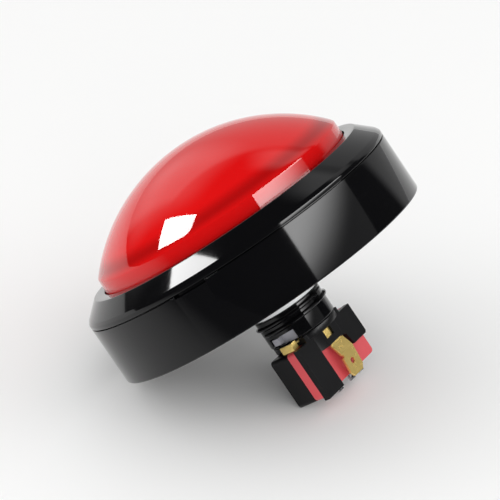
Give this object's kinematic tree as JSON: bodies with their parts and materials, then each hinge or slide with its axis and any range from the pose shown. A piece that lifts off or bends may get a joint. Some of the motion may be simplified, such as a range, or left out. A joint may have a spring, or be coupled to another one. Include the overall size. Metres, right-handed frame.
{
  "type": "dome push button",
  "caption": "Large illuminated dome push button for quiz and game lockout systems, with threaded stem, bayonet lamp holder and snap switch",
  "frame": {"origin": "centre of the seat face under the skirt, on the stem's axis", "axes": "+Z out of the dome along the press axis, +X and +Y in the panel's plane"},
  "size_m": [0.1, 0.1, 0.0846],
  "materials": {
    "black_gloss": "high-gloss moulded black plastic",
    "white_seal": "white silicone ring",
    "spring_steel": "drawn steel wire",
    "red_lens": "polished translucent red plastic",
    "white_plastic": "natural white moulding",
    "pale_plastic": "pale grey moulding",
    "lamp_glass": "clear lamp glass",
    "brass": "stamped brass strip",
    "black_satin": "satin black moulding",
    "red_switch": "red phenolic-style moulding",
    "tinned": "tin-plated lug",
    "actuator_black": "small moulded pin"
  },
  "bodies": {
    "root": {"base_shell": "black_gloss", "neck_seal": "white_seal", "bezel_ring": "black_gloss", "return_spring": "spring_steel"},
    "plunger": {"dome_lens": "red_lens", "diffuser": "white_plastic", "plunger_carrier": "white_plastic"},
    "holder": {"lamp_socket": "pale_plastic", "lamp_glass": "lamp_glass", "lamp_filament": "spring_steel", "lamp_clip_contact": "brass", "lamp_tab_contact": "brass", "switch_bracket": "black_satin", "switch_base": "red_switch", "switch_cover": "black_satin", "terminal_common": "tinned", "terminal_open": "tinned", "terminal_closed": "tinned"},
    "actuator": {"switch_actuator": "actuator_black"},
    "blade": {"switch_blade": "brass"}
  },
  "joints": [
    {"name": "dome_press", "type": "slide", "parent": "root", "child": "plunger", "axis": [0, 0, -1], "range_m": [0, 0.0022], "stiffness_N_per_m": 400, "springref_m": -0.004, "deforming": ["return_spring"]},
    {"name": "holder_twist", "type": "hinge", "parent": "root", "child": "holder", "pos_m": [0, 0, -0.0143], "axis": [0, 0, 1], "range_deg": [0, 30]},
    {"name": "actuator_slide", "type": "slide", "parent": "holder", "child": "actuator", "axis": [0, 0, -1], "range_m": [0, 0.0022]},
    {"name": "blade_hinge", "type": "hinge", "parent": "holder", "child": "blade", "pos_m": [0.00636, 0.00636, -0.02225], "axis": [0.7071, -0.7071, 0], "range_deg": [0, 8.08]}
  ],
  "couplings": [
    {"joint": "actuator_slide", "follows": "dome_press", "ratio": 1},
    {"joint": "blade_hinge", "follows": "dome_press", "rad_per_m": 64.088}
  ]
}
